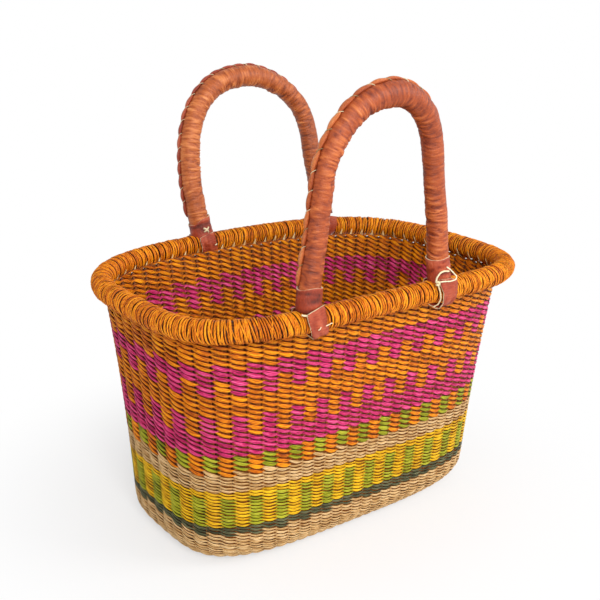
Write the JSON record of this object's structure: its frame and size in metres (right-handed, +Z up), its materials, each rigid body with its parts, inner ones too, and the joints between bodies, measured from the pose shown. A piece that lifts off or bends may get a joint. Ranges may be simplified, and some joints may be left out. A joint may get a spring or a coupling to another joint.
{
  "type": "market basket",
  "caption": "Oval market basket of twined straw in dyed bands, with a wound grass rim and laced leather grip handles that swing on the rim in leather loops.",
  "frame": {"origin": "middle of the underside of the base, on the surface that the basket stands on", "axes": "+Z up, +X along the basket's long side, -Y towards the front side, whose handle is nearer to the viewer in the picture"},
  "size_m": [0.4202, 0.3121, 0.4354],
  "materials": {
    "natural_straw": "dull, undyed twisted grass",
    "dark_straw": "dull, dark green dyed grass",
    "yellow_straw": "dull, yellow dyed grass with green columns",
    "green_straw": "dull, lime and orange dyed grass in checks",
    "magenta_straw": "dull, magenta dyed grass with orange columns",
    "orange_straw": "dull, orange dyed grass",
    "tan_leather": "wrinkled, half matt",
    "red_leather": "half matt",
    "rawhide": "raw, cream coloured"
  },
  "bodies": {
    "basket": {"base_mat": "natural_straw", "base_edge": "natural_straw", "foot_band": "natural_straw", "dark_band": "dark_straw", "yellow_green_band": "yellow_straw", "pale_band": "natural_straw", "check_band": "green_straw", "lower_magenta_band": "magenta_straw", "middle_orange_band": "orange_straw", "upper_magenta_band": "magenta_straw", "top_orange_band": "orange_straw", "rim_core": "natural_straw", "rim_wrap": "orange_straw"},
    "front_handle": {"front_handle_core": "natural_straw", "front_handle_cover": "tan_leather", "front_handle_lacing": "tan_leather", "front_left_cuff": "red_leather", "front_right_cuff": "red_leather", "front_left_loop": "red_leather", "front_right_loop": "red_leather", "front_left_thong": "rawhide", "front_right_thong": "rawhide"},
    "rear_handle": {"rear_handle_core": "natural_straw", "rear_handle_cover": "tan_leather", "rear_handle_lacing": "tan_leather", "rear_left_cuff": "red_leather", "rear_right_cuff": "red_leather", "rear_left_loop": "red_leather", "rear_right_loop": "red_leather", "rear_left_thong": "rawhide", "rear_right_thong": "rawhide"}
  },
  "joints": [
    {"name": "front_handle_swing", "type": "hinge", "parent": "basket", "child": "front_handle", "pos_m": [-0.028, -0.12533, 0.24188], "axis": [0.9996, -0.0252, 0.0097], "range_deg": [-40, 150]},
    {"name": "rear_handle_swing", "type": "hinge", "parent": "basket", "child": "rear_handle", "pos_m": [0.033, 0.12427, 0.24162], "axis": [-0.9993, 0.035, 0.0114], "range_deg": [-53, 137]}
  ]
}
